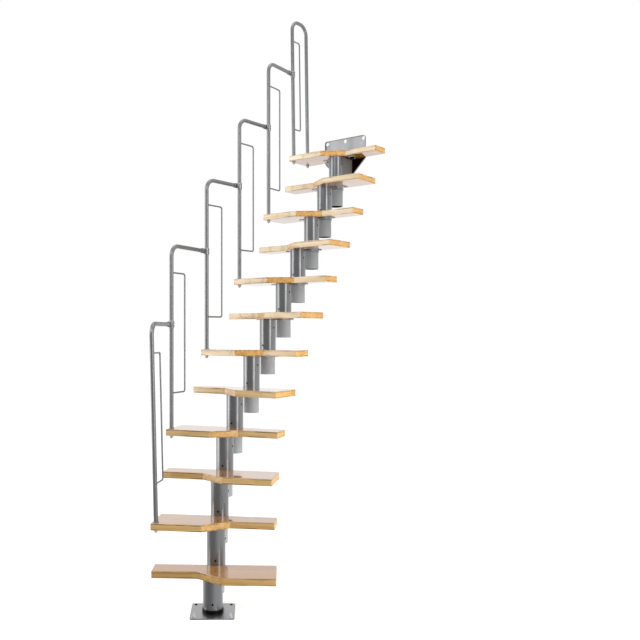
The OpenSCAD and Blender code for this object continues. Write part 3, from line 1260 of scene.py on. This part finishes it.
@dataclass(frozen=True)
class Railing:
    """Bent posts, each clamped to the next, with a thin rod beside each one."""

    climb: Climb
    tube_d: float = 25
    tube_sides: int = 40
    height: float = 1050
    bar_lift: tuple[float, ...] = (5, 10, 6, -6, -13)
    tube_bend: float = 65
    loop_height: float = 971
    loop_gap: float = 166
    loop_lean: float = 0.9
    loop_bend: float = 70
    post_in: float = 24
    post_back: float = 29
    first_lean: float = 1.4
    rod_d: float = 10
    rod_sides: int = 20
    rod_out: float = 138
    rod_low: float = 196
    rod_high: float = 893
    loop_rod_high: float = 826
    rod_bend: float = 14
    rod_bite: float = 0.6
    clamp_d: float = 33
    clamp_h: float = 46
    cup_reach: float = 9
    screw_rise: float = 9
    collar_d: float = 31
    collar_l: float = 10
    collar_rim: float = 0.8
    lip_l: float = 10
    shade_gap_l: float = 11
    ring_ease: float = 0.8
    arc_steps: int = 14

    @property
    def last(self) -> int:
        """Number of the end loop; every post before it carries a bar."""
        return self.climb.steps // 2

    @property
    def boss_end(self) -> float:
        """How far a clamp's cup and gap reach from the post it holds."""
        return self.clamp_d / 2 + self.cup_reach

    def post_at(self, i: int) -> Vector:
        """Find the plan place of a post, on the deep left end of its tread.

        Args:
            i: Number of the post, which stands on tread 2i.

        Returns:
            Its place in millimetres.
        """
        right = -(self.climb.tread_w / 2 - self.post_in)
        on = -(self.climb.tread_front + self.climb.deep_run - self.post_back)
        heading = self.climb.tread_dir[2 * i - 1]
        return self.climb.stand(2 * i) + direction(heading + 90) * right + direction(heading) * on

    def leg(self, i: int) -> float:
        """Height of bar i above the tread that post i stands on."""
        return self.height + self.bar_lift[i - 1]

    def bar_level(self, i: int) -> float:
        """Height of bar i above the floor."""
        return self.climb.top(2 * i) + self.leg(i)

    def clamp_lean(self, i: int) -> float:
        """Lean of what bar i is clamped to: only the end loop leans."""
        return self.loop_lean if i + 1 == self.last else 0.0

    def hold(self, i: int) -> Vector:
        """Find the plan place where a bar is clamped to the next post.

        Args:
            i: Number of the bar.

        Returns:
            The place in millimetres.
        """
        rise = self.bar_level(i) - self.climb.top(2 * i + 2)
        drift = rise * math.tan(math.radians(self.clamp_lean(i)))
        return self.post_at(i + 1) - direction(self.climb.tread_dir[2 * i + 1] + 90) * drift

    def lean(self, i: int) -> float:
        """Sideways lean of post i."""
        return self.first_lean if i == 1 else 0.0

    def shift(self, i: int) -> float:
        """How far the lean of post i carries its top aside."""
        return self.leg(i) * math.sin(math.radians(self.lean(i)))

    def span(self, i: int) -> float:
        """Plan distance from post i to where its bar ends."""
        return (self.hold(i) - self.post_at(i)).length

    def bar_length(self, i: int) -> float:
        """Length of the level bar of post i, axis to axis."""
        return math.sqrt(self.span(i) ** 2 - self.shift(i) ** 2)

    def bar_frame(self, i: int) -> Matrix:
        """Find the frame at the far end of a bar.

        Args:
            i: Number of the bar.

        Returns:
            The frame: Y along the bar, Z up the post.
        """
        step = self.hold(i) - self.post_at(i)
        bearing = math.degrees(math.atan2(step.x, step.y))
        heading = bearing + math.degrees(math.asin(self.shift(i) / self.span(i)))
        return frame_at(self.hold(i) + UP * self.bar_level(i), heading, self.lean(i))

    def clamp_frame(self, i: int) -> Matrix:
        """Frame of the clamp at the far end of bar i: Z up what it holds."""
        base = self.hold(i) + UP * self.bar_level(i)
        return frame_at(base, self.climb.tread_dir[2 * i + 1], self.clamp_lean(i))

    def loop_frame(self) -> Matrix:
        """Frame at the foot of the end loop's front leg, on the top tread."""
        base = self.post_at(self.last) + UP * self.climb.top(self.climb.steps)
        return frame_at(base, self.climb.tread_dir[-1], self.loop_lean)

    def arc(self, centre: Point, radius: float, start: float, end: float) -> list[Point]:
        """Points of an arc in the Y-Z plane.

        Args:
            centre: Its centre.
            radius: Its radius.
            start: Angle of the first point from +Y towards +Z.
            end: Angle of the last point.

        Returns:
            The points, first and last included.
        """
        turns = [
            math.radians(start + (end - start) * step / self.arc_steps)
            for step in range(self.arc_steps + 1)
        ]
        return [
            (centre[0] + radius * math.cos(turn), centre[1] + radius * math.sin(turn))
            for turn in turns
        ]

    def posts(self) -> None:
        """Bend the five posts and the end loop."""
        tube = Stock(self.tube_d, self.tube_sides, RAIL_COAT)
        bend = self.tube_bend
        for i in range(1, self.last):
            back = -self.bar_length(i)
            flat = [(back, 1 - self.leg(i)), (back, -self.leg(i) / 2)]
            flat += self.arc((back + bend, -bend), bend, 180, 90)
            flat += [(-self.boss_end - 1, 0)]
            tube.bend(f"rail_post_{i}", f"post_{i}", self.bar_frame(i), flat)
        top, bend, gap = self.loop_height, self.loop_bend, self.loop_gap
        flat = [(0, 1), (0, top / 2)]
        flat += self.arc((bend, top - bend), bend, 180, 90)
        flat += self.arc((gap - bend, top - bend), bend, 90, 0)
        flat += [(gap, top / 2), (gap, 1)]
        tube.bend("rail_end_loop", f"post_{self.last}", self.loop_frame(), flat)

    def rod_path(self, low: float, high: float, out: float) -> list[Point]:
        """Lay out a rod: out of the post, up, and back to it.

        Args:
            low: Height of its lower arm.
            high: Height of its upper arm.
            out: How far its upright stands from the post.

        Returns:
            The points of its path.
        """
        start = self.tube_d / 2 - self.rod_bite
        bend = self.rod_bend
        flat = [(start, low)]
        flat += self.arc((out - bend, low + bend), bend, -90, 0)
        flat += [(out, (low + high) / 2)]
        flat += self.arc((out - bend, high - bend), bend, 0, 90)
        return flat + [(start, high)]

    def rods(self) -> None:
        """Bend the thin rods and give each arm its weld."""
        rod = Stock(self.rod_d, self.rod_sides, RAIL_COAT)
        spots = []
        for i in range(1, self.last + 1):
            if i < self.last:
                foot = Vector((0, -self.bar_length(i), -self.height))
                frame = self.bar_frame(i) @ Matrix.Translation(foot * MM)
                high, out = self.rod_high, self.rod_out
            else:
                frame = self.loop_frame()
                high, out = self.loop_rod_high, self.loop_gap / 2
            flat = self.rod_path(self.rod_low, high, out)
            rod.bend(f"rail_rod_{i}", f"rod_{i}", frame, flat)
            for level in (self.rod_low, high):
                spot = frame @ Vector((0, self.tube_d / 2 * MM, level * MM))
                spots.append((spot, frame.to_3x3() @ direction(0)))
        weld = (
            (5, 4.2), (5.6, 2.4), (6.8, 1.2), (8.2, 0.5), (8.2, -2), (4.8, -2), (4.8, 4.2)
        )
        Fastener(weld, RAIL_COAT, sides=20, closed=True).scatter("rod_welds", spots)

    def clamp(self, i: int) -> Thing:
        """Build the clamp of bar i: a sleeve round the post and a cup for the bar.

        Args:
            i: Number of the bar.

        Returns:
            The joined clamp.
        """
        radius, outer, half = self.tube_d / 2, self.clamp_d / 2, self.clamp_h / 2
        upper = [
            (radius + 0.1, half), (radius + 1.4, half), (outer - 1.2, half - 2.2),
            (outer - 0.2, half - 6), (outer, half - 11),
        ]
        sleeve = upper + [(wide, -high) for wide, high in reversed(upper)]
        body = turned(f"rail_clamp_{i}", sleeve, self.clamp_frame(i), 48, closed=True)
        cup_r, start = self.collar_d / 2, self.boss_end
        profile = [
            (0, start), (cup_r - 5, start), (cup_r - 5, start - 3), (cup_r - 1.2, start - 3),
            (cup_r, start - 4.2), (cup_r, radius + 1.5), (0, radius + 1.5),
        ]
        along = self.bar_frame(i) @ Matrix.Rotation(math.radians(90), 4, "X")
        cup = turned(f"clamp_cup_{i}", profile, along, 48)
        join = body.modifiers.new("join", "BOOLEAN")
        join.operation = "UNION"
        join.solver = "EXACT"
        join.object = cup
        piece = smoothed(baked(body, body.name), CAST_ANGLE)
        bpy.data.objects.remove(cup)
        return piece

    def clamps(self) -> None:
        """Build the clamps round the posts, with their cups and screws."""
        screws = []
        for i in range(1, self.last):
            settle(self.clamp(i), CLAMP_COAT, f"clamp_{i}")
            bar = self.bar_frame(i)
            for side in (-1, 1):
                face = (bar.to_3x3() @ Vector((side, 0, 0))).normalized()
                for rise in (-self.screw_rise, self.screw_rise):
                    screws.append(
                        (bar.to_translation() + face * self.clamp_d / 2 * MM + UP * rise * MM, face)
                    )
        socket = ((0, 0.1), (1.5, 0.1), (1.9, 1), (3.2, 1), (3.5, 0.5), (3.5, -2), (0, -2))
        Fastener(socket, BLACK_STEEL_AND_SHADE, sides=16).scatter("clamp_screws", screws)

    def bar_rings(self, name: str, radius: float, start: float, end: float, coat: Finish) -> None:
        """Put the same turned ring on every bar, just outside the clamp's cup.

        Args:
            name: Piece name.
            radius: Outer radius.
            start: Where the ring begins, from the end of the cup outward.
            end: Where it ends, the same way.
            coat: Its finish.
        """
        inner = self.tube_d / 2 + 0.05
        ease = self.ring_ease
        profile = (
            (inner, start), (radius - ease, start), (radius, start + ease),
            (radius, end - ease), (radius - ease, end), (inner, end),
        )
        spots = []
        for i in range(1, self.last):
            bar = self.bar_frame(i)
            spots.append((bar @ Vector((0, -self.boss_end * MM, 0)), bar.to_3x3() @ -direction(0)))
        Fastener(profile, coat, sides=40, closed=True).scatter(name, spots)

    def collars(self) -> None:
        """Put the cup's lip, a black ring of painted shade for the gap, and the collar on the end of
        each bar.
        """
        outer = self.collar_d / 2
        shade_gap_end = self.lip_l + self.shade_gap_l
        wide = outer + self.collar_rim
        self.bar_rings("bar_cup_lips", outer, -2.9, self.lip_l - 0.1, CLAMP_COAT)
        # A black ring between lip and collar: painted shade for the dark gap there.
        self.bar_rings("bar_seals", outer - 0.2, self.lip_l, shade_gap_end - 0.1, SHADE_BLACK)
        self.bar_rings("bar_collars", wide, shade_gap_end, shade_gap_end + self.collar_l, CLAMP_COAT)

    def feet(self) -> None:
        """Put a washer on the tread and a cap nut under it at each leg."""
        washer = ((12.55, 4), (14.4, 4), (15.3, 3.2), (15.5, 2.4), (15.5, 0.1), (12.55, 0.1))
        dome = (
            (0, 19), (3.2, 18.5), (5.8, 16.9), (8, 14.2), (9.2, 10.8), (9.6, 8.6),
            (11.4, 8.2), (12, 7.4), (12, 0.8), (11.4, 0.1), (0, 0.1),
        )
        climb = self.climb
        legs = [(self.post_at(i), 2 * i) for i in range(1, self.last + 1)]
        back_leg = self.post_at(self.last) + direction(climb.tread_dir[-1]) * self.loop_gap
        legs.append((back_leg, climb.steps))
        tops = [((place + UP * climb.top(k)) * MM, UP) for place, k in legs]
        bottoms = [((place + UP * climb.under(k)) * MM, -UP) for place, k in legs]
        Fastener(washer, RAIL_COAT, sides=40, closed=True).scatter("foot_washers", tops)
        Fastener(dome, ZINC, sides=24).scatter("cap_nuts", bottoms)

    def build(self) -> None:
        """Build the whole railing."""
        self.posts()
        self.rods()
        self.clamps()
        self.collars()
        self.feet()


# ---------------------------------------------------------------- the studio


@dataclass(frozen=True)
class Softbox:
    """One soft lamp.

    Args:
        name: Name of the lamp.
        place: Where it stands, in metres.
        target: What it points at.
        size: Width and height in metres.
        power: Watts.
        shows: Whether polished parts mirror it.
    """

    name: str
    place: tuple[float, float, float]
    target: tuple[float, float, float]
    size: tuple[float, float]
    power: float
    shows: bool = True

    def build(self) -> None:
        """Add the lamp to the scene."""
        light = bpy.data.lights.new(self.name, "AREA")
        light.shape = "RECTANGLE"
        light.size, light.size_y = self.size
        light.energy = self.power
        lamp = linked(self.name, light)
        lamp.location = self.place
        aim = Vector(self.target) - Vector(self.place)
        lamp.rotation_euler = aim.to_track_quat("-Z", "Y").to_euler()
        lamp.visible_glossy = self.shows


@dataclass(frozen=True)
class Studio:
    """White sweep, soft lamps and the camera.

    Seen in the part, the room is white behind it and dim in front of it, where
    only the lamps shine. The change runs across both the world and the floor,
    and stands nearer on the floor close to the part. Each change holds how much
    the right side counts as back, where the dim front ends along +Y and where
    the white back starts. A white path crosses the far floor, so wide to each
    side of its heading from its full glow to none. Three bands of upward looks
    hold where the horizon, the ceiling and the top of the back wall fade.
    """

    camera_at: tuple[float, float, float] = (0.1864, -4.0322, 1.4444)
    lens: float = 43.92
    sensor: float = 36
    sight_m: float = 200
    shift: Point = (0.1109, 0.0192)
    white: str = "#FFFFFF"
    paper: str = "#F3F3F3"
    fill: float = 0.55
    dim: float = 0.27
    dim_high: float = 0.47
    back: float = 1.0
    back_high: float = 0.9
    ceiling: float = 0.9
    horizon_band: Point = (-0.06, 0.04)
    ceiling_band: Point = (0.3, 0.6)
    back_band: Point = (0.25, 0.33)
    change: tuple[float, float, float] = (0.5, -0.4, 0.1)
    change_near: tuple[float, float, float] = (1.0, -1.5, -0.3)
    near_m: Point = (1.2, 2.2)
    path_x: float = 0.3
    path_fade: Point = (0.05, 0.12)
    floor_glow: float = 0.55
    floor_m: float = 60
    floor_sides: int = 96
    lamps: tuple[Softbox, ...] = (
        Softbox("left_box", (-3.4, 0.55, 2.15), (0.4, 0.6, 2.0), (2.2, 4.2), 82),
        Softbox("right_strip", (3.1, -3.3, 2.3), (0.4, 0.6, 2.1), (1.4, 4.4), 72),
        Softbox("right_low", (1.8, -0.4, 0.2), (0.0, 0.3, 0.4), (0.8, 0.4), 22, False),
        Softbox("front_top", (-1.5, -2.6, 4.4), (0.5, 0.7, 2.4), (1.5, 1.2), 25),
        Softbox("top_box", (0.5, 0.9, 5.6), (0.5, 0.9, 1.0), (2.4, 2.4), 20),
    )

    def camera(self) -> None:
        """Set up the level camera."""
        data = bpy.data.cameras.new("camera")
        data.lens = self.lens
        data.sensor_width = self.sensor
        data.shift_x, data.shift_y = self.shift
        data.clip_end = self.sight_m
        camera = linked("camera", data)
        camera.location = self.camera_at
        camera.rotation_euler = (math.radians(90), 0, 0)
        bpy.context.scene.camera = camera

    def mirrored(self, tree: Tree, way: Socket, change: tuple[float, float, float]) -> Socket:
        """How bright the room is to the part's mirrors, from front to back.

        Args:
            tree: The world's or the floor's node tree.
            way: Direction from the part, as a unit vector.
            change: Where the dim front turns into the white back.

        Returns:
            The level.
        """
        add = partial(add_node, tree)
        eased = {"interpolation_type": "SMOOTHSTEP"}
        skew, *band = change
        aside, along, up = add("ShaderNodeSeparateXYZ", [way]).node.outputs
        depth = add(MATH, [aside, skew, along], operation="MULTIPLY_ADD")
        front = add(MAP_RANGE, [up, *self.horizon_band, self.dim, self.dim_high], **eased)
        above = add(MAP_RANGE, [up, *self.ceiling_band, front, self.ceiling], **eased)
        behind = add(MAP_RANGE, [up, *self.back_band, self.back, self.back_high], **eased)
        return add(MAP_RANGE, [depth, *band, above, behind], **eased)

    def world(self) -> None:
        """Make the world white to the camera, and two-toned to mirrors."""
        world = bpy.data.worlds.new("studio")
        bpy.context.scene.world = world
        tree = blank(world)
        add = partial(add_node, tree)
        way = add("ShaderNodeTexCoord", (), "Generated")
        ray = add("ShaderNodeLightPath").node.outputs
        seen = add(MATH, [ray["Is Glossy Ray"], ray["Is Transmission Ray"]], operation="MAXIMUM")
        room = {"Factor": seen, "A": self.fill, "B": self.mirrored(tree, way, self.change)}
        level = add(MIX, room, data_type="FLOAT")
        shown = {"Factor": ray["Is Camera Ray"], "A": level, "B": 1.0}
        white = {"Color": linear(self.white), "Strength": add(MIX, shown, data_type="FLOAT")}
        add("ShaderNodeOutputWorld", {"Surface": add("ShaderNodeBackground", white)})

    def floor(self) -> None:
        """Lay a pale floor that keeps the shadow."""
        shape = bmesh.new()
        bmesh.ops.create_circle(
            shape, cap_ends=True, radius=self.floor_m, segments=self.floor_sides
        )
        sheet = mesh_object("studio_floor", shape)
        paper = bpy.data.materials.new("paper_white_matte")
        tree = blank(paper)
        add = partial(add_node, tree)
        ray = add("ShaderNodeLightPath").node.outputs
        glow = add(MATH, [ray["Is Camera Ray"], self.floor_glow], operation="MULTIPLY")
        body = {
            "Base Color": linear(self.paper),
            "Roughness": 0.9,
            "Specular IOR Level": 0.0,
            "Emission Color": linear(self.white),
            "Emission Strength": glow,
        }
        place = add("ShaderNodeTexCoord", (), "Object")
        way = add(VECTOR_MATH, [place], operation="NORMALIZE")
        off = add(MATH, [add("ShaderNodeSeparateXYZ", [way]), self.path_x], operation="SUBTRACT")
        off = add(MATH, [off], operation="ABSOLUTE")
        eased = {"interpolation_type": "SMOOTHSTEP"}
        path = add(MAP_RANGE, [off, *self.path_fade, 1.0, 0.0], **eased)
        beyond = self.mirrored(tree, way, self.change)
        beyond = add(MATH, [path, beyond], operation="MAXIMUM")
        reach = add(VECTOR_MATH, [place], "Value", operation="LENGTH")
        far = add(MAP_RANGE, [reach, *self.near_m], **eased)
        room = {"Factor": far, "A": self.mirrored(tree, way, self.change_near), "B": beyond}
        level = add(MIX, room, data_type="FLOAT")
        mirror = add("ShaderNodeEmission", {"Color": linear(self.white), "Strength": level})
        either = [ray["Is Glossy Ray"], add(PRINCIPLED, body), mirror]
        add("ShaderNodeOutputMaterial", {"Surface": add("ShaderNodeMixShader", either)})
        sheet.data.materials.append(paper)

    def build(self) -> None:
        """Build the camera, the lamps, the world and the floor."""
        bpy.context.scene.view_settings.view_transform = "Standard"
        self.camera()
        for lamp in self.lamps:
            lamp.build()
        self.world()
        self.floor()


def main() -> None:
    """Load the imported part, dress it and set the studio round it."""
    logging.basicConfig(level=logging.INFO, format="%(name)s: %(message)s")
    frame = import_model()
    nodes = frame["nodes"]
    climb = Climb()
    TreadSet(climb).build()
    Spine(nodes, climb).build()
    Foot(nodes).build()
    WallBracket(nodes, climb).build()
    Railing(climb).build()
    Studio().build()


if __name__ == "__main__":
    main()
